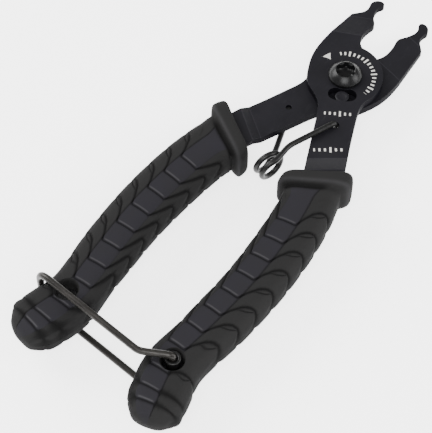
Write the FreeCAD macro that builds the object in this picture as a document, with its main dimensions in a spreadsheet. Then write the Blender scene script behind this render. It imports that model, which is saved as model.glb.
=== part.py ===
import FreeCAD, Part
import math
import os
from FreeCAD import Placement, Rotation, Vector

# Quick-link pliers, in millimetres. The origin is on the pivot's axis, midway between the two arms.
# +Y points to the jaws, +X to the front arm's handle, +Z out of the front face.

DIMENSIONS = {
    "plate_thickness": 2.6, "plate_gap": 0.3, "nub_thickness": 2.0, "tang_thickness": 2.6,
    "disc_radius": 11.9, "pivot_hole_radius": 3.85, "slot_radius": 7.8, "slot_width": 4.7,
    "slot_half_angle": 16.0, "pin_radius": 2.15, "pin_below_face": 0.5,
    "front_jaw_bend_angle": 24.0, "front_jaw_bend_start": 17.4, "front_jaw_bend_end": 26.5,
    "back_jaw_bend_angle": 16.0, "back_jaw_bend_start": 14.1, "back_jaw_bend_end": 27.7,
    "shank_bend_angle": 37.0, "shank_bend_start": 31.9, "shank_bend_end": 34.9,
    "tang_tip": 5.6, "tang_tip_shift": 0.6, "bush_radius": 3.8, "bush_bore": 3.05, "bush_below_arm": 0.05,
    "screw_radius": 3.0, "screw_chamfer": 0.4, "screw_past_nut": 0.5,
    "head_radius": 5.25, "head_height": 3.1, "head_rim": 1.1,
    "crown_radius": 3.25, "dome_radius": 4.3, "dome_height": 2.28,
    "socket_radius": 3.1, "socket_root": 2.35, "socket_depth": 2.1,
    "washer_radius": 6.0, "washer_thickness": 0.6, "friction_radius": 5.3,
    "nut_flats": 10.0, "nut_height": 4.2, "nut_lip": 1.4, "nut_lip_radius": 4.4,
    "insert_radius": 3.9, "insert_inset": 0.3,
    "spring_wire": 1.7, "spring_hole_radius": 0.95, "front_spring_hole_radius": 1.25,
    "coil_radius": 4.1, "coil_pitch": 2.9, "coil_lean": 18.0,
    "spring_bend": 1.6, "spring_clearance": 0.15, "spring_droop": 0.2,
    "end_hole_radius": 3.25, "end_hole_x": 18.9, "end_hole_y": -113.6,
    "tube_radius": 2.0, "tube_bore": 1.12, "tube_length": 15.0, "tube_flare": 1.65, "flare_depth": 1.2,
    "bail_wire": 2.1, "bail_height": 8.8, "bail_bend": 5.0, "bail_knee_bend": 3.0,
}

doc = FreeCAD.newDocument("quick_link_pliers")
sheet = doc.addObject("Spreadsheet::Sheet", "dimensions")
for row, (alias, value) in enumerate(DIMENSIONS.items(), start=1):
    sheet.set(f"A{row}", alias)
    sheet.set(f"B{row}", str(value))
    sheet.setAlias(f"B{row}", alias)
doc.recompute()


def size(alias):
    return float(sheet.get(alias))


def bind(feature, prop, expression):
    feature.setExpression(prop, expression)


# ---------------------------------------------------------------- bodies, sketches and features

def new_body(name):
    body = doc.addObject("PartDesign::Body", name)
    body.Label = name
    return body


def sketch(body, name, edges, role="XY_Plane", offset=None):
    drawing = body.newObject("Sketcher::SketchObject", name)
    support = next(plane for plane in body.Origin.OriginFeatures if plane.Role == role)
    drawing.AttachmentSupport = [(support, "")]
    drawing.MapMode = "FlatFace"
    drawing.AttachmentOffset = offset or Placement()
    drawing.addGeometry(edges, False)
    return drawing


def level(z):
    return Placement(Vector(0, 0, z), Rotation())


def pad(body, drawing, expression, both_ways=False):
    feature = body.newObject("PartDesign::Pad", "pad_" + drawing.Name)
    feature.Profile = drawing
    bind(feature, "Length", expression)
    feature.SideType = "Symmetric" if both_ways else "One side"
    return feature


def pocket(body, drawing, length, upwards=True, both_ways=False):
    """Cuts the drawing away, upwards from its plane unless told otherwise, and checks that it cut."""
    doc.recompute()
    before = body.Shape.Volume
    feature = body.newObject("PartDesign::Pocket", "cut_" + drawing.Name)
    feature.Profile = drawing
    if isinstance(length, str):
        bind(feature, "Length", length)
    else:
        feature.Length = length
    feature.SideType = "Symmetric" if both_ways else "One side"
    feature.Reversed = upwards
    doc.recompute()
    if body.Shape.Volume > before - 0.01:
        raise RuntimeError(f"{feature.Name} cuts nothing")
    return feature


def revolve(body, drawing):
    feature = body.newObject("PartDesign::Revolution", "turn_" + drawing.Name)
    feature.Profile = drawing
    feature.ReferenceAxis = (drawing, ["V_Axis"])
    feature.Angle = 360
    return feature


# ---------------------------------------------------------------- curves

def circle(x, y, radius):
    return Part.Circle(Vector(x, y, 0), Vector(0, 0, 1), radius)


def polygon(points):
    corners = [Vector(x, y, 0) for x, y in points]
    return [Part.LineSegment(a, b) for a, b in zip(corners, corners[1:] + corners[:1])]


def spline(points):
    curve = Part.BSplineCurve()
    curve.interpolate([Vector(x, y, 0) for x, y in points])
    return curve


def arc_about(x, y, radius, start, middle, end):
    """An arc through three directions, in degrees, from one centre."""
    spots = [Vector(x + radius * math.cos(math.radians(a)), y + radius * math.sin(math.radians(a)), 0)
             for a in (start, middle, end)]
    return Part.Arc(*spots)


def ends(curve):
    return curve.value(curve.FirstParameter), curve.value(curve.LastParameter)


def mirrored(points, side):
    return [(side * x, y) for x, y in points]


# ---------------------------------------------------------------- the two arms
# Both are drawn with the jaw on +X and the handle on -X, which is the back arm. The front arm is
# the same outline turned over.

NUB = [(13.4, 23.9), (12.0, 25.6), (10.8, 27.1), (10.3, 28.6), (10.4, 30.0), (10.75, 31.4), (10.4, 32.8),
       (9.3, 33.9), (8.0, 34.2), (7.0, 33.7), (6.85, 32.7), (7.55, 31.3), (7.7, 29.6), (7.2, 27.9),
       (6.2, 26.2), (5.0, 24.7)]
THROAT = [(5.0, 24.7), (4.55, 23.3), (4.8, 21.3), (4.95, 18.8), (4.6, 16.3), (3.4, 14.0), (1.9, 12.7)]
HANDLE_OUTSIDE = [(-10.7, -4.6), (-10.6, -7.2), (-11.5, -10.4), (-13.5, -15.2), (-16.0, -21.0),
                  (-18.5, -26.4), (-20.6, -31.6)]
HANDLE_INSIDE = [(-9.6, -36.6), (-8.4, -33.6), (-6.6, -29.6), (-4.9, -25.7), (-2.7, -20.7), (-0.6, -16.2),
                 (0.9, -13.9), (2.7, -12.2), (5.0, -10.9), (7.5, -9.4), (9.5, -7.4), (11.2, -4.3),
                 (13.0, 0.3), (13.8, 5.0), (13.9, 9.5)]
TANG_OUTSIDE = [(-20.6, -31.6), (-22.6, -38.5), (-24.2, -49.5), (-25.8, -70.0), (-25.6, -88.0),
                (-24.0, -107.0)]
TANG_INSIDE = [(-13.9, -109.0), (-14.8, -94.0), (-16.0, -80.0), (-15.6, -66.0), (-13.6, -50.0),
               (-11.6, -42.0), (-9.6, -36.6)]
DISC_CENTRE = (0.2, 0.4)
DISC_MIDDLE_ANGLE = math.radians(35)


def tang_tip(side):
    """The rounded tip of the tang, under the handle's end hole. side is 1 for the front arm's tang."""
    x = size("end_hole_x") + size("tang_tip_shift")
    return Vector(side * x, size("end_hole_y") - size("tang_tip"), 0)


def arm_outline(side):
    """The closed outline, as curves joined end to end. side is 1 for the back arm, -1 for the front."""
    nub = spline(mirrored(NUB, side))
    throat = spline(mirrored(THROAT, side))
    outside = spline(mirrored(HANDLE_OUTSIDE, side))
    tang_outside = spline(mirrored(TANG_OUTSIDE, side))
    tang_inside = spline(mirrored(TANG_INSIDE, side))
    inside = spline(mirrored(HANDLE_INSIDE, side))
    disc_x, disc_y = DISC_CENTRE
    disc = Part.Arc(ends(throat)[1],
                    Vector(side * (disc_x - size("disc_radius") * math.cos(DISC_MIDDLE_ANGLE)),
                           disc_y + size("disc_radius") * math.sin(DISC_MIDDLE_ANGLE), 0),
                    ends(outside)[0])
    tip = Part.Arc(ends(tang_outside)[1], tang_tip(-side), ends(tang_inside)[0])
    back_of_jaw = Part.LineSegment(ends(inside)[1], ends(nub)[0])
    return [nub, throat, disc, outside, tang_outside, tip, tang_inside, inside, back_of_jaw]


PAST_THE_ARM = 200.0
CLEAR_OF_THE_PLATE = 10.0


def bend_cut(body, name, side, angle, start, finish, end_thickness):
    """Leaves a bent strip: the plate's own level up to the first bend, a ramp, then the middle level.

    The drawing is upright, with its x along the strip and its y up, and it is cut both ways.
    """
    gap, thickness = size("plate_gap") / 2, size("plate_thickness")
    low, high = (gap, gap + thickness) if side < 0 else (-gap - thickness, -gap)
    far, beyond, half = CLEAR_OF_THE_PLATE, -CLEAR_OF_THE_PLATE, end_thickness / 2
    turn = Placement(Vector(), Rotation(Vector(0, 1, 0), angle))
    above = [(beyond, high), (start, high), (finish, half), (PAST_THE_ARM, half), (PAST_THE_ARM, far),
             (beyond, far)]
    below = [(beyond, low), (start, low), (finish, -half), (PAST_THE_ARM, -half), (PAST_THE_ARM, -far),
             (beyond, -far)]
    for label, points in (("above", above), ("below", below)):
        if label == ("above" if side < 0 else "below"):
            points = [(start, points[1][1])] + points[2:5] + [(start, points[5][1])]
        drawing = sketch(body, f"{name}_{label}", polygon(points), "YZ_Plane", turn)
        pocket(body, drawing, 2 * PAST_THE_ARM, both_ways=True)


def make_arm(name, side):
    """side is 1 for the back arm and -1 for the front arm."""
    body = new_body(name)
    outline = sketch(body, name + "_outline", arm_outline(side))
    pad(body, outline, "2 * (dimensions.plate_gap / 2 + dimensions.plate_thickness)", both_ways=True)
    jaw = "back_jaw_bend" if side > 0 else "front_jaw_bend"
    bend_cut(body, name + "_jaw", side, -side * size(jaw + "_angle"), size(jaw + "_start"),
             size(jaw + "_end"), size("nub_thickness"))
    bend_cut(body, name + "_shank", side, 180 - side * size("shank_bend_angle"), size("shank_bend_start"),
             size("shank_bend_end"), size("tang_thickness"))
    return body


def through_hole(body, name, edges):
    drawing = sketch(body, name, edges, offset=level(-CLEAR_OF_THE_PLATE))
    return pocket(body, drawing, 2 * CLEAR_OF_THE_PLATE)


def slot_edges():
    """An arc slot about the pivot, centred on the stop pin's place at rest."""
    radius, half_width = size("slot_radius"), size("slot_width") / 2
    middle, half = PIN_DIRECTION, size("slot_half_angle")
    first, last = middle - half, middle + half
    outer = arc_about(0, 0, radius + half_width, first, middle, last)
    inner = arc_about(0, 0, radius - half_width, first, middle, last)
    caps = []
    for angle, away in ((first, -90), (last, 90)):
        x = radius * math.cos(math.radians(angle))
        y = radius * math.sin(math.radians(angle))
        caps.append(arc_about(x, y, half_width, angle - 180, angle + away, angle))
    return [outer, inner] + caps


PIN_DIRECTION = -63.0
SPRING_HOOK_FRONT = (8.1, -17.8)
FRONT_SPRING_HOLE = (8.35, -17.9)
SPRING_HOOK_BACK = (-8.3, -18.8)

front_arm = make_arm("front_arm", -1)
through_hole(front_arm, "front_pivot_hole", [circle(0, 0, size("pivot_hole_radius"))])
through_hole(front_arm, "stop_slot", slot_edges())
through_hole(front_arm, "front_spring_hole", [circle(*FRONT_SPRING_HOLE, size("front_spring_hole_radius"))])
through_hole(front_arm, "tube_eye", [circle(size("end_hole_x"), size("end_hole_y"), size("tube_radius"))])

back_arm = make_arm("back_arm", 1)
PIN_X = size("slot_radius") * math.cos(math.radians(PIN_DIRECTION))
PIN_Y = size("slot_radius") * math.sin(math.radians(PIN_DIRECTION))
through_hole(back_arm, "back_pivot_hole", [circle(0, 0, size("pivot_hole_radius"))])
through_hole(back_arm, "pin_hole", [circle(PIN_X, PIN_Y, size("pin_radius"))])
through_hole(back_arm, "back_spring_hole", [circle(*SPRING_HOOK_BACK, size("spring_hole_radius"))])
through_hole(back_arm, "hang_eye", [circle(-size("end_hole_x"), size("end_hole_y"), size("end_hole_radius"))])

# ---------------------------------------------------------------- pivot and stop

def turned(name, profile):
    """A piece turned about Z from half of its section, as points (radius, height)."""
    body = new_body(name)
    revolve(body, sketch(body, name + "_section", profile, "XZ_Plane"))
    return body


def ring(name, inner, outer, bottom, top):
    return turned(name, polygon([(inner, bottom), (outer, bottom), (outer, top), (inner, top)]))


STACK_TOP = size("plate_gap") / 2 + size("plate_thickness")
BUSH_BOTTOM = -STACK_TOP - size("bush_below_arm")
NUT_TOP = BUSH_BOTTOM - size("washer_thickness")
NUT_BOTTOM = NUT_TOP - size("nut_height")
LIP_BOTTOM = NUT_BOTTOM - size("nut_lip")
SCREW_END = LIP_BOTTOM - size("screw_past_nut")


def make_screw():
    """Domed head, plain shank and a six-lobe socket, made of a round core and six round lobes."""
    radius, chamfer = size("screw_radius"), size("screw_chamfer")
    rim_top, head_top = STACK_TOP + size("head_rim"), STACK_TOP + size("head_height")
    corners = [(0, SCREW_END), (radius - chamfer, SCREW_END), (radius, SCREW_END + chamfer),
               (radius, STACK_TOP), (size("head_radius"), STACK_TOP), (size("head_radius"), rim_top)]
    spots = [Vector(x, z, 0) for x, z in corners]
    section = [Part.LineSegment(a, b) for a, b in zip(spots, spots[1:])]
    dome_end = Vector(size("crown_radius"), head_top, 0)
    dome_middle = Vector(size("dome_radius"), STACK_TOP + size("dome_height"), 0)
    section.append(Part.Arc(spots[-1], dome_middle, dome_end))
    section.append(Part.LineSegment(dome_end, Vector(0, head_top, 0)))
    section.append(Part.LineSegment(Vector(0, head_top, 0), spots[0]))
    body = turned("pivot_screw", section)
    lobes = []
    tip, root = size("socket_radius"), size("socket_root")
    for k in range(6):
        start = math.radians(60 * k - 30)
        middle = math.radians(60 * k)
        stop = math.radians(60 * k + 30)
        lobes.append(Part.Arc(Vector(root * math.cos(start), root * math.sin(start), 0),
                              Vector(tip * math.cos(middle), tip * math.sin(middle), 0),
                              Vector(root * math.cos(stop), root * math.sin(stop), 0)))
    socket = sketch(body, "socket", lobes, offset=level(head_top - size("socket_depth")))
    pocket(body, socket, "dimensions.socket_depth + 1")
    return body


def make_nut():
    body = new_body("lock_nut")
    corner = size("nut_flats") / math.sqrt(3)
    hexagon = [(corner * math.cos(math.radians(60 * k)), corner * math.sin(math.radians(60 * k)))
               for k in range(6)]
    drawing = sketch(body, "nut_hexagon", polygon(hexagon), offset=level(NUT_BOTTOM))
    pad(body, drawing, "dimensions.nut_height")
    collar = sketch(body, "nut_lip", [circle(0, 0, size("nut_lip_radius"))], offset=level(LIP_BOTTOM))
    pad(body, collar, "dimensions.nut_lip")
    through_hole(body, "nut_bore", [circle(0, 0, size("screw_radius"))])
    recess = sketch(body, "insert_recess", [circle(0, 0, size("insert_radius"))],
                    offset=level(LIP_BOTTOM + size("insert_inset")))
    pocket(body, recess, size("nut_lip"))
    return body


pivot_screw = make_screw()
pivot_bush = ring("pivot_bush", size("bush_bore"), size("bush_radius"), BUSH_BOTTOM, STACK_TOP)
friction_washer = ring("friction_washer", size("pivot_hole_radius"), size("friction_radius"),
                       -size("plate_gap") / 2, size("plate_gap") / 2)
nut_washer = ring("nut_washer", size("bush_bore"), size("washer_radius"), NUT_TOP, BUSH_BOTTOM)
lock_nut = make_nut()
nut_insert = ring("nut_insert", size("screw_radius"), size("insert_radius"),
                  LIP_BOTTOM + size("insert_inset"), NUT_BOTTOM + size("insert_inset"))

stop_pin = new_body("stop_pin")
pin_drawing = sketch(stop_pin, "pin_section", [circle(PIN_X, PIN_Y, size("pin_radius"))],
                     offset=level(-STACK_TOP))
pad(stop_pin, pin_drawing,
    "2 * dimensions.plate_thickness + dimensions.plate_gap - dimensions.pin_below_face")


# ---------------------------------------------------------------- grips
# Stations along the right grip: place of the centre, half width, half thickness.

STATIONS = [
    (15.2, -37.5, 9.9, 6.4), (15.6, -38.8, 10.7, 7.3), (16.1, -40.3, 10.7, 7.4), (16.9, -42.9, 9.7, 6.8),
    (17.6, -45.4, 8.5, 6.5), (18.8, -51.0, 8.6, 6.6), (20.5, -66.0, 8.8, 6.8), (20.9, -81.0, 8.7, 6.8),
    (20.1, -94.5, 8.5, 6.7), (19.1, -104.5, 8.3, 6.7), (18.6, -112.9, 7.9, 6.8), (19.6, -118.6, 8.5, 7.0),
    (20.8, -123.8, 8.5, 7.0), (21.7, -127.5, 7.3, 6.0), (22.3, -129.9, 5.3, 4.3), (22.7, -131.2, 2.4, 2.0),
]
SECTION_POWER = 2.5
SECTION_POINTS = 16


def station_axes():
    """The angle of each station's outward direction, square to the line through its neighbours."""
    angles = []
    for k in range(len(STATIONS)):
        before = STATIONS[max(k - 1, 0)]
        after = STATIONS[min(k + 1, len(STATIONS) - 1)]
        angles.append(math.degrees(math.atan2(after[0] - before[0], before[1] - after[1])))
    return angles


def grip_section(half_width, half_thickness):
    """A superellipse, flatter on its front and back than an ellipse."""
    points = []
    for k in range(SECTION_POINTS):
        a = 2 * math.pi * k / SECTION_POINTS
        x = math.copysign(abs(math.cos(a)) ** (2 / SECTION_POWER), math.cos(a))
        z = math.copysign(abs(math.sin(a)) ** (2 / SECTION_POWER), math.sin(a))
        points.append(Vector(half_width * x, half_thickness * z, 0))
    curve = Part.BSplineCurve()
    curve.interpolate(points, True)
    return [curve]


def make_grip(name, side):
    """side is 1 for the right grip, on the front arm, and -1 for the left grip."""
    body = new_body(name)
    sections = []
    for k, ((x, y, half_width, half_thickness), angle) in enumerate(zip(STATIONS, station_axes())):
        place = Placement(Vector(side * x, 0, -y), Rotation(Vector(0, 1, 0), side * angle))
        sections.append(sketch(body, f"{name}_section_{k}", grip_section(half_width, half_thickness),
                               "XZ_Plane", place))
    loft = body.newObject("PartDesign::AdditiveLoft", name + "_loft")
    loft.Profile = sections[0]
    loft.Sections = sections[1:]
    tang_outside = spline(mirrored(TANG_OUTSIDE, -side))
    tang_inside = spline(mirrored(TANG_INSIDE, -side))
    tip = Part.Arc(ends(tang_outside)[1], tang_tip(side), ends(tang_inside)[0])
    mouth = Part.LineSegment(ends(tang_inside)[1], ends(tang_outside)[0])
    cavity = sketch(body, name + "_cavity", [tang_outside, tip, tang_inside, mouth],
                    offset=level(-size("tang_thickness") / 2))
    pocket(body, cavity, "dimensions.tang_thickness")
    through_hole(body, name + "_end_hole",
                 [circle(side * size("end_hole_x"), size("end_hole_y"), size("end_hole_radius"))])
    return body


right_grip = make_grip("right_grip", 1)
left_grip = make_grip("left_grip", -1)


# ---------------------------------------------------------------- bent wires

def bent_path(points, bends):
    """Straight runs joined by tangent arcs, one radius for each corner, or as large as the runs allow."""
    spots = [Vector(*p) for p in points]
    edges = []
    here = spots[0]
    for before, corner, after, bend in zip(spots, spots[1:], spots[2:], bends):
        arriving = (corner - before).normalize()
        leaving = (after - corner).normalize()
        half_turn = arriving.getAngle(leaving) / 2
        shorter = min((corner - before).Length, (after - corner).Length)
        cut = min(bend * math.tan(half_turn), 0.45 * shorter)
        radius = cut / math.tan(half_turn)
        first, last = corner - arriving * cut, corner + leaving * cut
        inward = (leaving - arriving).normalize()
        middle = corner + inward * (radius / math.cos(half_turn) - radius)
        edges += [Part.LineSegment(here, first).toShape(), Part.Arc(first, middle, last).toShape()]
        here = last
    edges.append(Part.LineSegment(here, spots[-1]).toShape())
    return Part.Wire(edges)


def wire_piece(name, points, diameter, bends):
    path = bent_path(points, bends)
    start = path.Edges[0]
    section = Part.Wire([Part.Circle(Vector(*points[0]), start.tangentAt(start.FirstParameter),
                                     diameter / 2).toShape()])
    piece = doc.addObject("Part::Feature", name)
    piece.Label = name
    piece.Shape = path.makePipeShell([section], True, False)
    piece.Placement = Placement()
    expected = math.pi * diameter ** 2 / 4 * path.Length
    if abs(piece.Shape.Volume / expected - 1) > 0.02:
        raise RuntimeError(f"{name} has volume {piece.Shape.Volume:.1f}, not {expected:.1f}")
    return piece


COIL_CENTRE = (-0.3, -40.3)
COIL_TURNS = 1.5
COIL_STEPS = 16


def coil_points():
    """One and a half turns, from the top over the -Y side to the bottom, about X leant towards -Y."""
    lean = math.radians(size("coil_lean"))
    step = 2 * math.pi / COIL_STEPS
    reach = size("coil_radius") / math.cos(step / 2)
    count = round(COIL_TURNS * COIL_STEPS)
    points = []
    for k in range(count + 1):
        turned_by = math.pi / 2 + step * k
        along = size("coil_pitch") * (COIL_TURNS / 2 - k / COIL_STEPS)
        across = reach * math.cos(turned_by)
        points.append((COIL_CENTRE[0] + along * math.cos(lean) + across * math.sin(lean),
                       COIL_CENTRE[1] - along * math.sin(lean) + across * math.cos(lean),
                       reach * math.sin(turned_by)))
    return points


LEG_HEIGHT = STACK_TOP + size("spring_wire") / 2 + size("spring_clearance")
LOW_LEG_HEIGHT = LEG_HEIGHT + size("spring_droop")
HOOK_DEPTH = 0.8
spring_points = (
    [(*SPRING_HOOK_FRONT, HOOK_DEPTH), (*SPRING_HOOK_FRONT, LEG_HEIGHT), (1.4, -34.9, LOW_LEG_HEIGHT)]
    + coil_points()
    + [(-3.2, -33.5, -LOW_LEG_HEIGHT), (*SPRING_HOOK_BACK, -LEG_HEIGHT), (*SPRING_HOOK_BACK, -HOOK_DEPTH)])
return_spring = wire_piece("return_spring", spring_points, size("spring_wire"),
                           [size("spring_bend")] * (len(spring_points) - 2))

BAIL_END = 5.5
BAIL_KNEE = (10.4, -118.0)
BAIL_FAR = (-28.6, -114.4)
bail_side = [(size("end_hole_x"), size("end_hole_y"), BAIL_END),
             (size("end_hole_x"), size("end_hole_y"), size("bail_height")),
             (*BAIL_KNEE, size("bail_height")), (*BAIL_FAR, size("bail_height"))]
side_bends = [size("bail_bend"), size("bail_knee_bend"), size("bail_bend")]
lock_bail = wire_piece("lock_bail", bail_side + [(x, y, -z) for x, y, z in reversed(bail_side)],
                       size("bail_wire"), side_bends + side_bends[::-1])

half_tube = size("tube_length") / 2
bore, flare, tapered = size("tube_bore"), size("tube_flare"), half_tube - size("flare_depth")
bail_tube = turned("bail_tube", polygon([
    (bore, -tapered), (flare, -half_tube), (size("tube_radius"), -half_tube),
    (size("tube_radius"), half_tube), (flare, half_tube), (bore, tapered)]))
bail_tube.Placement = Placement(Vector(size("end_hole_x"), size("end_hole_y"), 0), Rotation())


# ---------------------------------------------------------------- checks and files

PIECES = [front_arm, back_arm, pivot_screw, pivot_bush, friction_washer, nut_washer, lock_nut, nut_insert,
          stop_pin, return_spring, right_grip, left_grip, lock_bail, bail_tube]

doc.recompute()
for thing in doc.Objects:
    if {"Invalid", "Error"} & set(thing.State):
        raise RuntimeError(f"{thing.Name} failed: {thing.State}")
os.makedirs("parts", exist_ok=True)
for piece in PIECES:
    if piece.Shape.isNull() or not piece.Shape.isValid() or not piece.Shape.Solids:
        raise RuntimeError(f"{piece.Label} has no valid solid")
    piece.Shape.exportStep(f"parts/{piece.Label}.step")
    print(f"{piece.Label}: {piece.Shape.Volume:.1f} mm3")
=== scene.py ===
import math

import bmesh
import bpy
import numpy as np
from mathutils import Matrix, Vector


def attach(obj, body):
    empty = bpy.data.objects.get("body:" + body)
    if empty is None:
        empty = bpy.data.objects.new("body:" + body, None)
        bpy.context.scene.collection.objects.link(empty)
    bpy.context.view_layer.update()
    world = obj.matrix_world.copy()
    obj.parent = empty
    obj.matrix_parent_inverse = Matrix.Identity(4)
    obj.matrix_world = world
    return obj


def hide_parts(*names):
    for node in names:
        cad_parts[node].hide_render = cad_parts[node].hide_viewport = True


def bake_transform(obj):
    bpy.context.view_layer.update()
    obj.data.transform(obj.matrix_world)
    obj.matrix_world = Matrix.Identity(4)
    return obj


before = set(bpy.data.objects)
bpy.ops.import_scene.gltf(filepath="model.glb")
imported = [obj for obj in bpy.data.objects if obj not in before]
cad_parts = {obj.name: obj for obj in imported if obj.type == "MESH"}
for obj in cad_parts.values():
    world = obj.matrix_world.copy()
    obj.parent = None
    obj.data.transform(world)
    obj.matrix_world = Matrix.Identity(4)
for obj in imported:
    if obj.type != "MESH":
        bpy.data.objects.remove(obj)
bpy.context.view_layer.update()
MM = 0.001
MERGE_WITHIN = 2e-6
FLAT_WITHIN = math.radians(0.8)

# ---------------------------------------------------------------- curves and surfaces


def smooth_through(knots, values, at):
    """Natural cubic spline: the second slopes at the knots solve the usual three-term rows, zero at both
    ends."""
    knots, values, at = (np.asarray(a, float) for a in (knots, values, at))
    gap = np.diff(knots)
    rise = np.diff(values, axis=0) / gap[:, None]
    rows = np.eye(len(knots))
    inner = np.arange(1, len(knots) - 1)
    rows[inner, inner - 1], rows[inner, inner + 1] = gap[:-1], gap[1:]
    rows[inner, inner] = 2 * (gap[:-1] + gap[1:])
    right = np.zeros_like(values)
    right[1:-1] = 6 * np.diff(rise, axis=0)
    bend = np.linalg.solve(rows, right)
    i = np.clip(np.searchsorted(knots, at) - 1, 0, len(gap) - 1)
    a, b, h = at - knots[i], knots[i + 1] - at, gap[i]
    cubic = (bend[i] * (b ** 3 / h - b * h)[..., None] + bend[i + 1] * (a ** 3 / h - a * h)[..., None]) / 6
    return cubic + values[i] * (b / h)[..., None] + values[i + 1] * (a / h)[..., None]


def ease(low, high, x):
    """Smooth step from 0 at low to 1 at high: 3t^2 - 2t^3."""
    t = np.clip((x - low) / (high - low), 0, 1)
    return t * t * (3 - 2 * t)


def dip(x, width):
    """Rounded valley of depth 1: exp of minus the square of x over width."""
    return np.exp(-((x / width) ** 2))


def bent_wire(corners, bend, spacing=0.25):
    """Straight runs joined by quadratic bends that leave each run `bend` before its corner, stepped
    evenly."""
    corners = np.asarray(corners, float)
    runs = np.diff(corners, axis=0)
    length = np.linalg.norm(runs, axis=1)
    way = runs / length[:, None]
    cut = np.minimum(bend, 0.45 * np.minimum(length[:-1], length[1:]))[:, None, None]
    t = np.linspace(0, 1, 24)[None, :, None]
    mid, back, on = corners[1:-1, None], way[:-1, None], way[1:, None]
    turns = mid - (1 - t) ** 2 * cut * back + t ** 2 * cut * on
    return even_steps(np.vstack([corners[:1], turns.reshape(-1, 3), corners[-1:]]), spacing)


def even_steps(points, spacing):
    """The same line resampled at equal lengths."""
    run = np.concatenate([[0], np.cumsum(np.linalg.norm(np.diff(points, axis=0), axis=1))])
    at = np.linspace(0, run[-1], int(run[-1] / spacing) + 2)
    return np.stack([np.interp(at, run, points[:, k]) for k in range(3)], axis=1)


def wire_rows(path, radius, side, sides=28, mouth=0.35):
    """Rings of `radius` round a path, set square to it from a fixed side direction. At each end five
    smaller rings round off the rim over `mouth` of the radius, as a quarter circle: cos along the wire and
    1 - sin across it."""
    along = np.gradient(path, axis=0)
    along /= np.linalg.norm(along, axis=1)[:, None]
    side = np.asarray(side, float)
    across = side - (along @ side)[:, None] * along
    across /= np.linalg.norm(across, axis=1)[:, None]
    up = np.cross(along, across)
    turn = np.linspace(0, 2 * np.pi, sides, endpoint=False)
    rings = path[:, None] + radius * (
        np.cos(turn)[None, :, None] * across[:, None] + np.sin(turn)[None, :, None] * up[:, None])
    corner = np.linspace(0, np.pi / 2, 6)[:-1]
    shrink = (1 - mouth * (1 - np.sin(corner)))[:, None, None]
    reach = (mouth * radius * np.cos(corner))[:, None, None]
    start = path[0] + shrink * (rings[0] - path[0])[None] - along[0] * reach
    end = path[-1] + shrink[::-1] * (rings[-1] - path[-1])[None] + along[-1] * reach[::-1]
    return np.concatenate([start, rings, end])


def turned_rows(profile, centre, sides):
    """A profile of (radius, height) pairs swept round the Z direction: radius times cos and sin of the
    turn."""
    profile = np.asarray(profile, float)
    turn = np.linspace(0, 2 * np.pi, sides, endpoint=False)
    radius = np.repeat(profile[:, :1], sides, axis=1)
    height = np.repeat(profile[:, 1:], sides, axis=1)
    return np.stack([centre[0] + radius * np.cos(turn), centre[1] + radius * np.sin(turn), height], axis=2)


def skin(name, rows, ring=False, flip=False):
    """A mesh over rows of points, each row closed on itself. The ends close on their own middles, or on
    each other."""
    n, m = rows.shape[:2]
    points = rows.reshape(-1, 3)
    i, j = np.meshgrid(np.arange(n if ring else n - 1), np.arange(m), indexing="ij")
    k, l = (i + 1) % n, (j + 1) % m
    quads = np.stack([i * m + j, i * m + l, k * m + l, k * m + j], axis=-1).reshape(-1, 4)
    if flip:
        quads = quads[:, ::-1]
    faces = quads.tolist()
    if not ring:
        points = np.vstack([points, rows[0].mean(axis=0), rows[-1].mean(axis=0)])
        here, after, last = np.arange(m), (np.arange(m) + 1) % m, (n - 1) * m
        caps = np.vstack([np.stack([np.full(m, n * m), after, here], axis=1),
                          np.stack([np.full(m, n * m + 1), last + here, last + after], axis=1)])
        faces += (caps[:, ::-1] if flip else caps).tolist()
    mesh = bpy.data.meshes.new(name)
    mesh.from_pydata((points * MM).tolist(), [], faces)
    mesh.polygons.foreach_set("use_smooth", np.ones(len(mesh.polygons), bool))
    piece = bpy.data.objects.new(name, mesh)
    bpy.context.collection.objects.link(piece)
    return piece


def point_values(piece, name, values):
    """Stores one number per point, for a finish to read."""
    store = piece.data.attributes.new(name, "FLOAT", "POINT")
    full = np.zeros(len(piece.data.vertices), np.float32)
    full[: values.size] = values.ravel()
    store.data.foreach_set("value", full)


def sharpen(piece, degrees):
    """Edges that turn more than this many degrees stay crisp."""
    piece.data.set_sharp_from_angle(angle=math.radians(degrees))


def clean(mesh):
    """Merges points that coincide and drops faces without area."""
    work = bmesh.new()
    work.from_mesh(mesh)
    bmesh.ops.remove_doubles(work, verts=work.verts, dist=MERGE_WITHIN)
    bmesh.ops.dissolve_degenerate(work, dist=MERGE_WITHIN, edges=work.edges)
    work.to_mesh(mesh)
    work.free()


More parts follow.
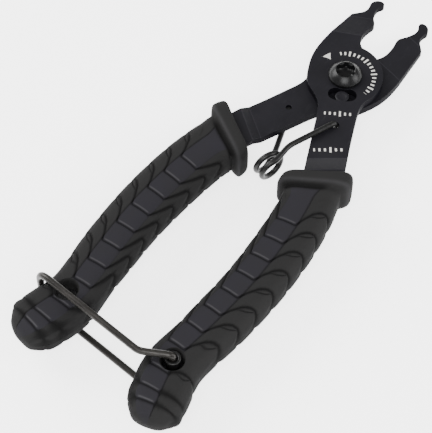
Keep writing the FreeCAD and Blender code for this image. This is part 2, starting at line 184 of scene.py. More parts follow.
def eased_copy(node, name, width, above=24.0, fold=0.0):
    """A merged copy of a solid with every edge sharper than `above` degrees rounded by `width` millimetres,
    after the folds of a bent plate, where `fold` is given, are rounded by `fold`. A fold is an edge of 3 to
    60 degrees between two faces that lie nearly flat. Rounded edges carry 1 in eased_edge, and folds carry
    1 in painted_fold_highlight."""
    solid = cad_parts[node]
    work = bmesh.new()
    work.from_mesh(solid.data)
    bmesh.ops.remove_doubles(work, verts=work.verts, dist=MERGE_WITHIN)
    bmesh.ops.dissolve_limit(work, angle_limit=FLAT_WITHIN, verts=work.verts, edges=work.edges)
    mark = work.faces.layers.float.new("eased_edge")
    # The folds' mask is where the plate finish paints a highlight along each fold.
    creased = work.faces.layers.float.new("painted_fold_highlight")
    if fold:
        folds = [e for e in work.edges
                 if len(e.link_faces) == 2 and math.radians(3) < e.calc_face_angle(0) < math.radians(60)
                 and all(abs(face.normal.z) > 0.8 for face in e.link_faces)]
        made = bmesh.ops.bevel(work, geom=folds, offset=fold * MM, offset_type="OFFSET", segments=3,
                               profile=0.5, affect="EDGES", clamp_overlap=True)
        for face in made["faces"]:
            face[creased] = 1.0
    limit = math.radians(above)
    sharp = [e for e in work.edges if len(e.link_faces) == 2 and e.calc_face_angle(0) > limit]
    made = bmesh.ops.bevel(work, geom=sharp, offset=width * MM, offset_type="OFFSET", segments=3, profile=0.5,
                           affect="EDGES", clamp_overlap=True, miter_outer="ARC")
    for face in work.faces:
        face.smooth = True
    for face in made["faces"]:
        face[mark] = 1.0
    mesh = bpy.data.meshes.new(name)
    work.to_mesh(mesh)
    work.free()
    clean(mesh)
    piece = bpy.data.objects.new(name, mesh)
    bpy.context.collection.objects.link(piece)
    even = piece.modifiers.new("even_shading", "WEIGHTED_NORMAL")
    even.keep_sharp = True
    even.weight = 60
    return piece


# ---------------------------------------------------------------- finishes


class Value:
    """One value in a finish. Arithmetic on it adds Math nodes."""

    def __init__(self, finish, socket):
        self.finish, self.socket = finish, socket

    def math(self, operation, *given):
        return self.finish.math(operation, *given)

    def __add__(self, other):
        return self.math("ADD", self, other)

    def __sub__(self, other):
        return self.math("SUBTRACT", self, other)

    def __rsub__(self, other):
        return self.math("SUBTRACT", other, self)

    def __mul__(self, other):
        return self.math("MULTIPLY", self, other)

    def __truediv__(self, other):
        return self.math("DIVIDE", self, other)

    def __lt__(self, other):
        return self.math("LESS_THAN", self, other)

    def __gt__(self, other):
        return self.math("GREATER_THAN", self, other)

    __radd__, __rmul__ = __add__, __mul__

    def apart(self, other):
        """How far the value is from another, without its sign."""
        return self.math("ABSOLUTE", self - other)

    def between(self, low, high):
        """0 below low, 1 above high and straight between them."""
        return self.finish.node("MapRange", {"clamp": True}, [self, low, high, 0.0, 1.0])


class Finish:
    """A material whose nodes are added one expression at a time."""

    def __init__(self, name, metallic=0.0, ior=1.5, specular=0.5):
        self.material = bpy.data.materials.new(name)
        self.material.use_nodes = True
        self.tree = self.material.node_tree
        self.shader = self.tree.nodes["Principled BSDF"]
        self.shader.inputs["Metallic"].default_value = metallic
        self.shader.inputs["IOR"].default_value = ior
        self.shader.inputs["Specular IOR Level"].default_value = specular

    def node(self, kind, settings=None, given=(), out=0):
        """Adds one node with its settings, fed by socket name or in order, and returns one of its outputs."""
        made = self.tree.nodes.new("ShaderNode" + kind)
        for key, setting in (settings or {}).items():
            setattr(made, key, setting)
        pairs = given.items() if isinstance(given, dict) else enumerate(given)
        for key, value in pairs:
            self.feed(made.inputs[key], value)
        return Value(self, made.outputs[out])

    def feed(self, socket, value):
        """Links a value to a socket, or sets the socket to a number, a vector or a colour."""
        if isinstance(value, Value):
            self.tree.links.new(value.socket, socket)
        elif isinstance(value, tuple) and socket.type == "RGBA":
            socket.default_value = (*value, 1.0)
        else:
            socket.default_value = value

    def math(self, operation, *given):
        """One Math node over values and numbers."""
        return self.node("Math", {"operation": operation}, list(given))

    def place(self):
        """Where the shaded point is, in metres."""
        return self.node("TexCoord", out="Object")

    def part(self, vector, axis):
        """One coordinate of a vector: 0, 1 or 2."""
        return self.node("SeparateXYZ", given=[vector], out=axis)

    def stretched(self, scale):
        """The place multiplied by a scale for each axis."""
        return self.node("VectorMath", {"operation": "MULTIPLY"}, [self.place(), scale])

    def grain(self, where, scale, detail=2.0, roughness=0.5):
        """Soft noise from 0 to 1."""
        given = {"Vector": where, "Scale": scale, "Detail": detail, "Roughness": roughness}
        return self.node("TexNoise", {}, given)

    def stored(self, name):
        """A number stored on the mesh."""
        return self.node("Attribute", {"attribute_name": name}, out="Fac")

    def mix(self, amount, first, second):
        """The first colour at 0 and the second at 1."""
        made = self.tree.nodes.new("ShaderNodeMix")
        made.data_type = "RGBA"
        for key, value in ((0, amount), (6, first), (7, second)):
            self.feed(made.inputs[key], value)
        return Value(self, made.outputs[2])

    def bump(self, height, distance, strength=1.0, under=None):
        """A bumped normal, on top of the normal `under` if there is one."""
        given = {"Height": height, "Distance": distance, "Strength": strength}
        if under is not None:
            given["Normal"] = under
        return self.node("Bump", {}, given)

    def show(self, colour, roughness, normal=None):
        """Links the finish to the shader and returns its material."""
        self.feed(self.shader.inputs["Base Color"], colour)
        self.feed(self.shader.inputs["Roughness"], roughness)
        if normal is not None:
            self.feed(self.shader.inputs["Normal"], normal)
        return self.material


def scaled(colour, factor):
    """A colour made lighter or darker, at most white."""
    return tuple(min(1.0, factor * part) for part in colour)


def moulded_rubber():
    """Matt rubber: a slightly bluer hard panel between softer flanks, fine spark-eroded grain, painted shade
    and some dust in the grooves, painted shade on sideways faces and a painted highlight on the raised edges."""
    f = Finish("moulded_rubber", ior=1.45, specular=0.012)
    where = f.place()
    mottle = f.grain(where, 160.0, 3.0)
    speck = f.grain(where, 2600.0, 2.0, 0.6)
    flank, panel = (0.0192, 0.0190, 0.0190), (0.0204, 0.0196, 0.0230)
    painted_crest_highlight = f.stored("painted_crest_highlight")
    rubber = f.mix(f.stored("panel"), flank, panel)
    # Painted shade: the faces that turn sideways are darkened.
    rubber = f.mix(f.stored("side") * 0.5, rubber, (0.0070, 0.0070, 0.0072))
    rubber = f.mix(mottle.between(0.35, 0.75) * 0.35, rubber, (0.020, 0.0195, 0.0195))
    # Painted shade with some dust: the grooves, the panel's borders and the neck under the collar are
    # darkened.
    rubber = f.mix(f.stored("groove") * 0.75, rubber, (0.004, 0.004, 0.004))
    # Painted highlight: a lighter line along the raised edge of each tile on the panel, also made a little
    # smoother.
    rubber = f.mix(painted_crest_highlight * (0.6 + 0.5 * mottle), rubber, (0.046, 0.045, 0.048))
    rough = 0.60 + 0.12 * (mottle - 0.5) + 0.10 * (speck - 0.5) - 0.10 * painted_crest_highlight
    return f.show(rubber, rough, f.bump(mottle, 0.00025, 0.25, f.bump(speck, 0.00006, 0.55)))


def coated_steel(name, marks=False, specular=0.22, tone=1.0):
    """Blue-black satin coating on stamped plate: fine orange peel, faint long scuffs, edges rubbed lighter, a
    painted highlight along the folds and, where `marks` is set, plain printed ticks. `tone` darkens the
    coating."""
    f = Finish(name, specular=specular)
    where = f.place()
    peel = f.grain(where, 1500.0, 2.0, 0.55)
    cloud = f.grain(where, 90.0, 4.0, 0.55)
    scuff = f.grain(f.stretched((900.0, 160.0, 900.0)), 1.0, 3.0, 0.6).between(0.62, 0.74)
    rubbed = f.stored("eased_edge") * f.grain(where, 700.0, 3.0, 0.6).between(0.36, 0.66)
    steel = f.mix(cloud.between(0.3, 0.7), scaled((0.0056, 0.0053, 0.0073), tone),
                  scaled((0.0084, 0.0079, 0.0104), tone))
    steel = f.mix(scuff * 0.12, steel, (0.045, 0.045, 0.05))
    steel = f.mix(rubbed * 0.30, steel, (0.060, 0.060, 0.065))
    # Painted highlight: the fold bevels are made lighter.
    steel = f.mix(f.stored("painted_fold_highlight") * 0.5, steel, (0.030, 0.029, 0.035))
    rough = 0.43 + 0.12 * (cloud - 0.5) + 0.10 * (peel - 0.5) - 0.12 * rubbed
    if marks:
        ink = plain_ticks(f)
        steel = f.mix(ink, steel, (0.55, 0.54, 0.51))
        rough = rough + 0.12 * ink
    return f.show(steel, rough, f.bump(cloud, 0.0003, 0.12, f.bump(peel, 0.00004, 0.5)))


BAND_RADIUS = 0.0091
TICK_PITCH = 6.2
TICK_ROWS = [((0.0068, -0.0136), 0.56, 0.0046, 640.0), ((0.01215, -0.02675), 0.635, 0.0049, 600.0)]


def plain_ticks(f):
    """Printed marks from distance and angle round the pivot: a band of short ticks with every fourth one
    longer, an arrow that narrows towards its tip, and two ruled rows, each at (middle, slope, half length,
    ticks per metre)."""
    x, y = f.part(f.place(), 0), f.part(f.place(), 1)
    up = f.part(f.node("TexCoord", out="Normal"), 2)
    radius = f.math("SQRT", x * x + y * y)
    angle = f.math("ARCTAN2", y, x)
    short = f.math("FRACT", (angle + 3.2) * TICK_PITCH) < 0.40
    longer = f.math("FRACT", (angle + 3.2) * (TICK_PITCH / 4)) < 0.25
    band = (angle.apart(1.047) < 1.29) * short * (radius.apart(BAND_RADIUS) < 0.00062 + longer * 0.00036)
    sideways = (angle - 2.77) * BAND_RADIUS
    marks = band + (sideways.apart(0.0) < (radius - 0.0079) * 0.55) * (radius < 0.0103)
    for (middle_x, middle_y), slope, half, pitch in TICK_ROWS:
        c, s = math.cos(slope), math.sin(slope)
        along = (x - middle_x) * c + (y - middle_y) * s
        across = (y - middle_y) * c - (x - middle_x) * s
        bars = f.math("FRACT", (along + 0.1) * pitch) < 0.38
        tall = f.math("FRACT", (along + 0.1) * pitch / 4.0) < 0.25
        marks = marks + (along.apart(0.0) < half) * (across.apart(0.0) < 0.00055 + tall * 0.00045) * bars
    return marks * (up > 0.8)


def gloss_black(name, specular):
    """Black oxide on a machined screw: dark and smooth, with a soft cloud of tone and fine pits."""
    f = Finish(name, specular=specular)
    cloud = f.grain(f.place(), 420.0, 3.0)
    fleck = f.grain(f.place(), 3000.0, 2.0)
    shade = f.mix(cloud.between(0.3, 0.75), (0.0035, 0.0035, 0.0037), (0.0075, 0.0075, 0.008))
    return f.show(shade, 0.30 + 0.14 * (cloud - 0.4), f.bump(fleck, 0.00002, 0.35))


def dark_wire(name, light, dark, rough, direction, metallic, specular):
    """Drawn wire: colour and polish vary in long streaks along the wire's main direction."""
    f = Finish(name, metallic=metallic, specular=specular)
    streak = f.grain(f.stretched(direction), 1.0, 4.0, 0.6)
    fleck = f.grain(f.place(), 1800.0, 3.0)
    shade = f.mix(streak.between(0.3, 0.7), dark, light)
    shade = f.mix(fleck.between(0.62, 0.72) * 0.5, shade, scaled(light, 1.8))
    level = rough + 0.16 * (streak - 0.5) + 0.08 * (fleck - 0.5)
    return f.show(shade, level, f.bump(streak, 0.00003, 0.4, f.bump(fleck, 0.00002, 0.4)))


def plain_metal(name, dark, light, rough):
    """Plated or turned metal with a soft cloud of tone, fine pits and rubbed edges."""
    f = Finish(name, metallic=1.0)
    cloud = f.grain(f.place(), 380.0, 4.0, 0.6)
    pit = f.grain(f.place(), 2600.0, 2.0)
    shade = f.mix(cloud.between(0.3, 0.7), dark, light)
    shade = f.mix(f.stored("eased_edge") * 0.4, shade, scaled(light, 1.3))
    return f.show(shade, rough + 0.16 * (cloud - 0.5), f.bump(pit, 0.00002, 0.5))


def plain_nylon():
    """Off-white nylon with a slight bloom."""
    f = Finish("nylon", ior=1.53)
    cloud = f.grain(f.place(), 500.0, 3.0)
    shade = f.mix(cloud, (0.55, 0.54, 0.50), (0.66, 0.65, 0.61))
    return f.show(shade, 0.42 + 0.16 * (cloud - 0.5), f.bump(cloud, 0.00003, 0.4))


def dress(piece, material, body, node):
    """Gives a piece its finish, its body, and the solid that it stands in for."""
    piece.data.materials.clear()
    piece.data.materials.append(material)
    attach(piece, body)
    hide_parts(node)
    return piece


def second_finish(piece, material, steepest):
    """Gives the faces that stand nearly upright, with a normal whose height is under `steepest`, another
    finish."""
    piece.data.materials.append(material)
    normals = np.empty(3 * len(piece.data.polygons), np.float32)
    piece.data.polygons.foreach_get("normal", normals)
    upright = np.abs(normals[2::3]) < steepest
    piece.data.polygons.foreach_set("material_index", upright.astype(np.int32))


# ---------------------------------------------------------------- grips

# Stations along the right grip: place of the centre, half width, half thickness, in millimetres.
STATIONS = np.array([
    (14.3, -35.1, 8.4, 6.4), (14.9, -36.6, 8.4, 6.4), (16.1, -40.3, 8.4, 6.4), (16.9, -42.9, 8.4, 6.4),
    (17.6, -45.4, 8.45, 6.45), (18.8, -51.0, 8.55, 6.6), (20.5, -66.0, 8.75, 6.8), (20.9, -81.0, 8.65, 6.8),
    (20.1, -94.5, 8.45, 6.7), (19.1, -104.5, 8.25, 6.7), (18.6, -112.9, 7.95, 6.8), (19.6, -118.6, 8.5, 7.0),
    (20.9, -123.7, 8.5, 7.0), (21.9, -127.3, 7.5, 6.2), (22.55, -129.6, 5.5, 4.6), (22.9, -130.8, 3.3, 2.8),
    (23.03, -131.3, 1.1, 0.9)])
RUN = np.concatenate([[0], np.cumsum(np.linalg.norm(np.diff(STATIONS[:, :2], axis=0), axis=1))])
# The powers of cos and sin in a section: 1 is an ellipse, and 0 a rectangle.
BODY_POWER, COLLAR_POWER = 0.8, 0.44
COLLAR_TOP, LIP_RADIUS = 2.7, 1.25
COLLAR_WIDER, COLLAR_THICKER = 2.35, 1.15
# Where the grooves cross the panel, in millimetres along the grip, and where their pattern fades out.
TREAD_PITCH = 7.4
TREAD_LINES = np.concatenate([23.1 + TREAD_PITCH * np.arange(8), [83.3, 89.6, 93.3]])
LAST_LEAF = 84.0
TREAD_FADE = (94.8, 96.3)
# How far a groove runs ahead at each angle round the grip, from 0 at its outer side to 180 at its inner side.
TREAD_SHIFT = np.array([
    (0, -5.6), (15, -6.7), (28, -7.6), (40, -8.0), (53, -7.6), (61, -6.9), (69.2, -5.7), (79.1, -2.9),
    (85.7, -0.2), (87, 0), (120.5, 0), (122, -0.3), (129, -2.0), (136, -4.1), (142, -6.2), (149, -7.8),
    (156, -8.0), (163, -7.5), (171, -6.5), (180, -5.6)])
# The panel's two borders, as angles round the grip.
OUTER_BORDER, INNER_BORDER = 83.4, 123.5
LEAF_WIDTH = 1.8
TILE_STEP, GROOVE_DEPTH, BORDER_DEPTH, NECK_DEPTH = 0.17, 0.24, 0.24, 0.55
HOLE = (18.9, -113.6)
HOLE_RADIUS = 3.25
GRIP_ROWS, HALF_COLUMNS = 370, 123


def folded(degrees):
    """The angle measured over the top, with the underside folded onto it."""
    return np.where(degrees > 180, 360 - degrees, degrees)


def tread_shift(degrees):
    """How far along the grip a tread groove runs ahead at each place round it: straight over the panel, a
    steep leg at each border and a shallow wave over the flank, the same above and below, with its corners
    softened."""
    fine = np.linspace(-20, 200, 2201)
    raw = np.interp(folded(np.abs(fine)), TREAD_SHIFT[:, 0], TREAD_SHIFT[:, 1])
    weight = dip(np.linspace(-2, 2, 41), 0.7)
    soft = np.convolve(raw, weight / weight.sum(), mode="same")
    return np.interp(folded(degrees), fine, soft)


def even_density(low, high, count, peaks):
    """Numbers from low to high, packed closer round each (place, width, strength) in peaks."""
    fine = np.linspace(low, high, 8001)
    weight = np.ones_like(fine)
    for place, width, strength in peaks:
        weight += strength * dip(fine - place, width)
    run = np.concatenate([[0], np.cumsum((weight[1:] + weight[:-1]) / 2)])
    return np.interp(np.linspace(0, run[-1], count), run, fine)


def grip_grid():
    """How far along the grip each row lies, how far in from the full section it starts, and each column's
    angle. The first rows are the collar's flat top and its quarter-round lip. Rows crowd at the grooves and
    columns at the panel's borders."""
    peaks = [(line, 0.55, 9.0) for line in TREAD_LINES] + [(8.4, 1.6, 3.0), (96.2, 1.5, 2.0)]
    peaks += [(line + LEAF_WIDTH * 0.9, 0.5, 3.5) for line in TREAD_LINES[:9]]
    g = even_density(COLLAR_TOP + LIP_RADIUS, RUN[-1], GRIP_ROWS, peaks)
    lip = np.linspace(0, np.pi / 2, 9)[1:-1]
    g = np.concatenate([np.full(3, COLLAR_TOP), COLLAR_TOP + LIP_RADIUS * (1 - np.cos(lip)), g])[:, None]
    inset = np.concatenate([[6.2, 3.6, 1.9], LIP_RADIUS * (1 - np.sin(lip)), np.zeros(GRIP_ROWS)])[:, None]
    half = even_density(0, 180, HALF_COLUMNS, [(OUTER_BORDER, 3.2, 3.2), (INNER_BORDER, 3.6, 3.2)])
    return g, inset, np.concatenate([half, 360 - half[1:-1][::-1]])[None, :]


def grip_rows():
    """The right grip as rows of points, and its panel, groove, crest and side values. A point sits at the
    centre line, plus the section's half width times cos of the angle to the section's power across, and
    half thickness times sin to the same power up. The collar adds to both near the top. Each row runs along
    a tread line, so that a groove needs only a few close rows. Each point then moves along the surface's
    own direction outward: tiles rise towards the next groove, and grooves, borders and the neck under the
    collar sink as rounded valleys."""
    g, inset, degrees = grip_grid()
    turn, over = np.radians(degrees), folded(degrees)
    width, thick = (smooth_through(RUN, STATIONS[:, k:k + 1], g)[..., 0] for k in (2, 3))
    collar = (1 - ease(6.3, 8.6, g)) * (0.8 + 0.2 * ease(COLLAR_TOP, COLLAR_TOP + 2.6, g))
    width = np.maximum(width + COLLAR_WIDER * collar - inset, 0.4)
    thick = np.maximum(thick + COLLAR_THICKER * collar - inset, 0.3)
    power = COLLAR_POWER + (BODY_POWER - COLLAR_POWER) * ease(7.0, 13.0, g)
    across = width * np.sign(np.cos(turn)) * np.abs(np.cos(turn)) ** power
    up = thick * np.sign(np.sin(turn)) * np.abs(np.sin(turn)) ** power

    # q is where a point's own section lies along the grip, ahead of or behind its row.
    wave = ease(13.5, 18.5, g) * (1 - 0.62 * ease(74.0, 83.0, g)) * (1 - ease(85.0, 92.0, g))
    slant = -0.25 * (1 - ease(8.0, 19.0, g)) + 0.22 * ease(76.0, 83.0, g) * (1 - ease(88.0, 96.8, g))
    shift = tread_shift(degrees)
    q = g + shift * wave + slant * (across + 1.0)
    q = np.minimum(q, g + (RUN[-1] - g) * 0.85)
    middle = smooth_through(RUN, STATIONS[:, :2], q)
    ahead = smooth_through(RUN, STATIONS[:, :2], q + 0.5) - smooth_through(RUN, STATIONS[:, :2], q - 0.5)
    ahead /= np.linalg.norm(ahead, axis=-1)[..., None]
    plan = middle + across[..., None] * np.stack([-ahead[..., 1], ahead[..., 0]], axis=-1)
    base = np.concatenate([plan, np.broadcast_to(up, q.shape)[..., None]], axis=-1)

    # steep tells how much longer a slanting groove is than its step along the grip; past is how far the row
    # lies beyond the nearest groove.
    slope = np.nan_to_num(np.gradient(shift[0], across[60]))
    steep = np.clip(np.hypot(1, slope)[None, :], 1, 5.5)
    behind = TREAD_LINES[np.clip(np.searchsorted(TREAD_LINES, g) - 1, 0, None)]
    after = TREAD_LINES[np.clip(np.searchsorted(TREAD_LINES, g), 0, len(TREAD_LINES) - 1)]
    past = np.where(np.abs(g - after) < np.abs(g - behind), g - after, g - behind)
    panel = ease(OUTER_BORDER - 1.2, OUTER_BORDER + 1.2, over)
    panel = panel * (1 - ease(INNER_BORDER - 1.2, INNER_BORDER + 1.2, over))
    flank = 1 - panel
    belly = 0.35 + 0.65 * dip(over - 48, 26) + 0.65 * dip(over - 146, 18)
    active = ease(TREAD_LINES[0] - 8.5, TREAD_LINES[0] - 5.0, g) * (1 - ease(*TREAD_FADE, g))

    groove = dip(past - 0.30 * panel, (0.32 + 0.14 * belly * flank) * steep) * active
    groove = groove * (g > TREAD_LINES[0] - 6)
    leaf = LEAF_WIDTH * (dip(over - 56, 17) + 0.8 * dip(over - 142, 9))
    second = dip(g - behind - leaf, 0.24 * steep ** 0.4) * ease(0.3, 0.9, leaf) * active
    groove = np.maximum(groove, 0.8 * second * (behind < LAST_LEAF) * (g > behind))
    rise = np.where(after >= g, (1 - np.clip((after - g) / TREAD_PITCH, 0, 1)) ** 1.6, 0) * active
    tile = (TILE_STEP - 0.12 * flank) * rise * (1 - ease(-0.34, 0.02, past) * (past < 0))
    depth = (GROOVE_DEPTH + 0.10 * flank * belly) * (1 - 0.35 * ease(84, 90, g))
    border = 0.8 * dip(over - OUTER_BORDER, 1.4) * ease(9.0, 10.2, g) * (1 - ease(96.3, 97.2, q))
    border += 0.2 * dip(over - INNER_BORDER, 1.5) * ease(12.0, 14.0, q) * (1 - ease(80.0, 86.0, q))
    neck = dip(g - 8.7, 0.8) * (0.35 + 0.75 * ease(68, 88, over) * (1 - ease(150, 175, over)))
    height = tile - depth * groove - BORDER_DEPTH * border - NECK_DEPTH * neck + 0.12 * dip(g - 6.3, 1.3)
    height = height * (inset == 0)

    along = np.gradient(base, axis=0)
    around = np.roll(base, -1, axis=1) - np.roll(base, 1, axis=1)
    outward = np.cross(around, along)
    outward /= np.maximum(np.linalg.norm(outward, axis=-1), 1e-9)[..., None]
    from_middle = np.concatenate([plan - middle, up[..., None]], axis=-1)
    away = np.sign(np.sum(outward * from_middle, axis=-1))[..., None]
    rows = base + outward * away * height[..., None]

    # Where a highlight is painted: along the raised edge of each tile on the panel, and along a line under
    # the collar.
    painted_crest_highlight = dip(past + 0.32, 0.22) * active * panel * (past < 0.1)
    painted_crest_highlight = painted_crest_highlight * ease(85.5, 90.0, over) * (1 - ease(112.0, 119.0, over))
    painted_crest_highlight = np.maximum(painted_crest_highlight * (steep < 2.5), 0.4 * dip(g - 6.9, 0.5))
    # The groove value darkens the grooves, the panel's borders and the neck in the finish: painted shade with
    # some dust.
    values = {"panel": ease(9.0, 9.8, g) * panel, "groove": np.clip(groove + 0.8 * border + neck, 0, 1),
              # The side value darkens the faces that turn sideways in the finish: painted shade.
              "painted_crest_highlight": np.clip(painted_crest_highlight, 0, 1), "side": 1 - ease(0.15, 0.8, np.abs(outward[..., 2]))}
    return rows, {key: np.broadcast_to(value, q.shape) for key, value in values.items()}


def hole_punch(name, centre):
    """A round punch with its ends flared, which leaves softened rims."""
    flare = [(HOLE_RADIUS + wider, z) for wider, z in ((1.6, -8.2), (0.55, -6.95), (0.12, -6.25), (0, -5.7))]
    return skin(name, turned_rows(flare + [(r, -z) for r, z in flare[::-1]], centre, 96))


def make_grip(name, node, body, hand):
    """One grip: the rows, mirrored for the left hand, with the hanging hole punched through."""
    rows, values = grip_rows()
    piece = skin(name, rows * np.array([hand, 1, 1]), flip=hand < 0)
    for key, value in values.items():
        point_values(piece, key, value)
    punch = hole_punch("punch", (hand * HOLE[0], HOLE[1]))
    cut = piece.modifiers.new("hole", "BOOLEAN")
    cut.operation, cut.solver, cut.object = "DIFFERENCE", "MANIFOLD", punch
    with bpy.context.temp_override(object=piece, active_object=piece, selected_objects=[piece]):
        bpy.ops.object.modifier_apply(modifier=cut.name)
    bpy.data.objects.remove(punch)
    clean(piece.data)
    sharpen(piece, 38)
    return dress(piece, rubber, body, node)


# ---------------------------------------------------------------- pieces

rubber = moulded_rubber()
steel = coated_steel("coated_steel")
marked_steel = coated_steel("marked_steel", marks=True)
# A darker copy of the coating, with almost no reflection, for the plates' upright faces: painted shade.
painted_shade_steel = coated_steel("painted_shade_sides", specular=0.01, tone=0.7)
black = gloss_black("gloss_black", specular=0.22)
dull_black = gloss_black("dull_black", specular=0.05)
zinc = plain_metal("zinc_plate", (0.42, 0.42, 0.43), (0.58, 0.58, 0.60), 0.34)
bronze = plain_metal("sintered_bronze", (0.30, 0.17, 0.07), (0.42, 0.26, 0.11), 0.42)
nylon = plain_nylon()
bail_steel = dark_wire("bail_wire", (0.036, 0.0335, 0.031), (0.015, 0.0142, 0.013), 0.36,
                       (120.0, 900.0, 900.0), 0.5, 0.3)
spring_steel = dark_wire("spring_wire", (0.011, 0.011, 0.0108), (0.005, 0.005, 0.005), 0.34,
                         (500.0, 500.0, 500.0), 0.1, 0.25)


make_grip("right_hand_grip", "right_grip", "front_half", 1)
make_grip("left_hand_grip", "left_grip", "back_half", -1)

PLATE_EASE, PLATE_FOLD = 0.28, 0.5
front_plate = dress(eased_copy("front_arm", "front_plate", PLATE_EASE, fold=PLATE_FOLD), marked_steel,
                    "front_half", "front_arm")
back_plate = dress(eased_copy("back_arm", "back_plate", PLATE_EASE, fold=PLATE_FOLD), steel,
                   "back_half", "back_arm")
# The plates' upright faces take the darker copy of the coating: painted shade on the sides.
for plate in (front_plate, back_plate):
    second_finish(plate, painted_shade_steel, 0.6)

PIN_AT = (7.8 * math.cos(math.radians(63)), -7.8 * math.sin(math.radians(63)))
# A dished middle inside a raised, rounded ring, then the straight side and a rounded lower rim.
PIN_PROFILE = [(0.02, 1.98), (0.8, 2.0), (1.15, 2.06), (1.3, 2.1), (1.38, 2.24), (1.5, 2.27), (1.95, 2.25),
               (2.1, 2.16), (2.15, 2.0), (2.15, -2.5), (2.05, -2.68), (1.8, -2.75), (0.02, -2.75)]
pin = dress(skin("slot_pin", turned_rows(PIN_PROFILE, PIN_AT, 64), flip=True), steel, "back_half", "stop_pin")
sharpen(pin, 35)
dress(eased_copy("lock_nut", "hex_nut", 0.2), zinc, "front_half", "lock_nut")
dress(eased_copy("nut_washer", "flat_washer", 0.12, 40), zinc, "front_half", "nut_washer")

for node, material in (("pivot_bush", bronze), ("friction_washer", nylon), ("nut_insert", nylon)):
    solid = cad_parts[node]
    solid.data.materials.clear()
    solid.data.materials.append(material)

HEAD_BALL = 6.2
SOCKET_MOUTH, DOME_EDGE = 3.15, 5.2
DOME_TOP = 5.85
LOBE_DEPTH = 0.135
HEAD_SIDES = 144
SOCKET_PROFILE = [(0.5, 3.6), (1.6, 3.65), (2.55, 3.8), (2.68, 3.95), (2.74, 5.2), (2.78, 5.45), (2.92, 5.66),
                  (3.06, 5.78)]
SHANK_PROFILE = [(5.25, 3.78), (5.25, 2.98), (5.16, 2.82), (5.0, 2.76), (3.2, 2.75), (3.0, 2.6), (3.0, -9.0),
                 (2.9, -9.2), (2.55, -9.48), (2.3, -9.5), (0.8, -9.5)]
# How far the socket's lobes reach into each of its rows: fully up to its mouth, and half way into its rim.
LOBES = [1.0] * 6 + [0.45]


def screw_rows():
    """The pivot screw from the floor of its six-lobed socket, over the head and down the shank. The head's
    dome is part of a ball: its height is the root of the ball's radius squared less the distance from the
    axis squared. The socket's radius grows and shrinks by the cosine of six times the turn."""
    across = SOCKET_MOUTH + (DOME_EDGE - SOCKET_MOUTH) * np.linspace(0, 1, 15)
    height = DOME_TOP + np.sqrt(HEAD_BALL ** 2 - across ** 2) - math.sqrt(HEAD_BALL ** 2 - SOCKET_MOUTH ** 2)
    profile = np.vstack([SOCKET_PROFILE, np.stack([across, height], axis=1), SHANK_PROFILE])
    rows = turned_rows(profile, (0, 0), HEAD_SIDES)
    turn = np.linspace(0, 2 * np.pi, HEAD_SIDES, endpoint=False)
    rows[: len(LOBES), :, :2] *= (1 + LOBE_DEPTH * np.outer(LOBES, np.cos(6 * turn)))[..., None]
    return rows


screw = dress(skin("button_screw", screw_rows(), flip=True), black, "front_half", "pivot_screw")
sharpen(screw, 50)
second_finish(screw, dull_black, 0.3)

BAIL_TOP, BAIL_WIRE = 8.8, 1.05
BAIL_KNEE, BAIL_FAR = (10.4, -118.0), (-28.0, -114.7)
BAIL_BENDS = np.array([1.6, 1.5, 4.5, 4.5, 1.5, 1.6])
upper_half = [(*HOLE, 5.5), (*HOLE, BAIL_TOP), (*BAIL_KNEE, BAIL_TOP), (*BAIL_FAR, BAIL_TOP)]
bail_path = bent_wire(upper_half + [(x, y, -z) for x, y, z in upper_half[::-1]], BAIL_BENDS)
dress(skin("lock_wire", wire_rows(bail_path, BAIL_WIRE, (0.1, 1.0, 0.0))), bail_steel, "bail", "lock_bail")

COIL_RADIUS, COIL_TURNS, COIL_PITCH, COIL_LEAN = 4.1, 1.5, 2.9, math.radians(18)
COIL_MIDDLE = (-0.3, -40.3)
SPRING_WIRE, LEG_BEND = 0.92, 1.9
FRONT_HOLE, BACK_HOLE = (8.1, -17.8), (-8.3, -18.8)


def spring_line():
    """The torsion spring's middle line: a leg down from the front plate, a coil round an axis that leans in
    the tool's plane, and a leg back up to the back plate. The coil is a circle that moves along its axis by
    its pitch with each turn. The whole line is smoothed a little, so that the legs run into the coil."""
    turns = np.linspace(0, COIL_TURNS, 90)
    along = COIL_PITCH * (COIL_TURNS / 2 - turns)
    across = -COIL_RADIUS * np.sin(2 * np.pi * turns)
    coil = np.stack([along * math.cos(COIL_LEAN) + across * math.sin(COIL_LEAN) + COIL_MIDDLE[0],
                     across * math.cos(COIL_LEAN) - along * math.sin(COIL_LEAN) + COIL_MIDDLE[1],
                     COIL_RADIUS * np.cos(2 * np.pi * turns)], axis=1)
    front_leg = bent_wire([(*FRONT_HOLE, 0.2), (*FRONT_HOLE, 3.75), (1.9, -33.6, 4.05),
                           (coil[0, 0] + 0.2, coil[0, 1] + 0.7, COIL_RADIUS)], LEG_BEND)
    back_leg = bent_wire([(coil[-1, 0] - 0.1, coil[-1, 1] + 0.7, -COIL_RADIUS), (-3.2, -33.5, -3.95),
                          (*BACK_HOLE, -3.75), (*BACK_HOLE, -0.95)], LEG_BEND)
    line = even_steps(np.vstack([front_leg[:-1], coil, back_leg[1:]]), 0.22)
    weight = dip(np.linspace(-2, 2, 13), 1.0)
    padded = np.vstack([np.repeat(line[:1], 6, axis=0), line, np.repeat(line[-1:], 6, axis=0)])
    weight /= weight.sum()
    return np.stack([np.convolve(padded[:, k], weight, mode="valid") for k in range(3)], axis=1)


spring = skin("torsion_spring", wire_rows(spring_line(), SPRING_WIRE, (1.0, 0.0, 0.0)))
spring.data.materials.append(spring_steel)
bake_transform(spring)
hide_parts("return_spring")

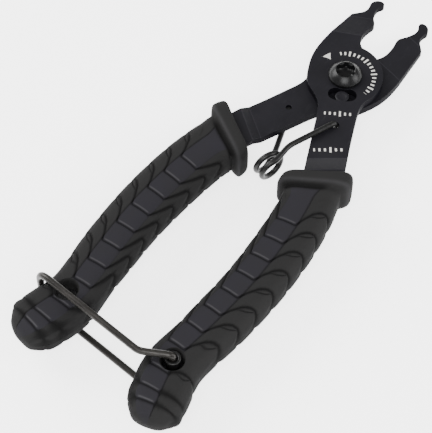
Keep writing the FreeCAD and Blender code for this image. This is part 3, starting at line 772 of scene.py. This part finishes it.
SLEEVE_LIP = [(1.35, 7.3), (1.5, 7.48), (1.95, 7.5), (2.2, 7.42), (2.28, 7.2), (2.05, 6.75), (2.0, 6.2)]
sleeve_profile = [(1.12, -6.3), (1.12, 6.3), (1.2, 6.9)] + SLEEVE_LIP
sleeve_profile += [(r, -z) for r, z in SLEEVE_LIP[::-1]] + [(1.2, -6.9)]
dress(skin("hinge_sleeve", turned_rows(sleeve_profile, HOLE, 72), ring=True, flip=True), spring_steel,
      "front_half", "bail_tube")

# ---------------------------------------------------------------- studio

WHITE = (1.0, 1.0, 1.0, 1.0)
FLOOR_LEVEL, FLOOR_REACH = -0.00985, 3.0


def glowing_card(name, colour, glow):
    """A plain matt card, lit a little from within."""
    f = Finish(name, specular=0.1)
    f.shader.inputs["Emission Color"].default_value = WHITE
    f.shader.inputs["Emission Strength"].default_value = glow
    return f.show(colour, 0.9)


corners = [(x * FLOOR_REACH, y * FLOOR_REACH, FLOOR_LEVEL) for x, y in ((-1, -1), (1, -1), (1, 1), (-1, 1))]
floor_mesh = bpy.data.meshes.new("floor")
floor_mesh.from_pydata(corners, [], [(0, 1, 2, 3)])
floor = bpy.data.objects.new("floor", floor_mesh)
bpy.context.collection.objects.link(floor)
floor_mesh.materials.append(glowing_card("pale_floor", (0.93, 0.93, 0.93), 2.9))

world = bpy.data.worlds.new("studio")
world.use_nodes = True
sky = world.node_tree.nodes["Background"].inputs
sky["Color"].default_value, sky["Strength"].default_value = WHITE, 0.55
bpy.context.scene.world = world

LIGHTS_AIM = Vector((0, -0.05, 0))


def soft_light(name, place, side, watts):
    """A square area light that faces the tool."""
    lamp = bpy.data.lights.new(name, "AREA")
    lamp.shape, lamp.size, lamp.size_y, lamp.energy = "RECTANGLE", side, side, watts
    holder = bpy.data.objects.new(name, lamp)
    holder.location = place
    holder.rotation_euler = (LIGHTS_AIM - Vector(place)).to_track_quat("-Z", "Y").to_euler()
    bpy.context.collection.objects.link(holder)


soft_light("front", (0.30, -0.55, 0.75), 0.6, 10.0)
soft_light("key", (-0.62, -0.10, 0.45), 0.5, 8.0)
soft_light("fill", (0.60, 0.30, 0.36), 0.4, 4.0)

EYE, TARGET = Vector((0.145572, -0.263782, 0.371743)), Vector((-0.002165, -0.065256, 0.0))
ROLL = math.radians(-0.182)
camera_data = bpy.data.cameras.new("camera")
camera_data.lens, camera_data.clip_start = 125.14, 0.01
camera_data.sensor_width, camera_data.sensor_height, camera_data.sensor_fit = 36.0, 36.0, "VERTICAL"
camera = bpy.data.objects.new("camera", camera_data)
camera.location = EYE
facing = (TARGET - EYE).to_track_quat("-Z", "Y").to_matrix()
right, above = facing.col[0].copy(), facing.col[1].copy()
facing.col[0] = right * math.cos(ROLL) + above * math.sin(ROLL)
facing.col[1] = above * math.cos(ROLL) - right * math.sin(ROLL)
camera.rotation_euler = facing.to_euler()
bpy.context.collection.objects.link(camera)
bpy.context.scene.camera = camera
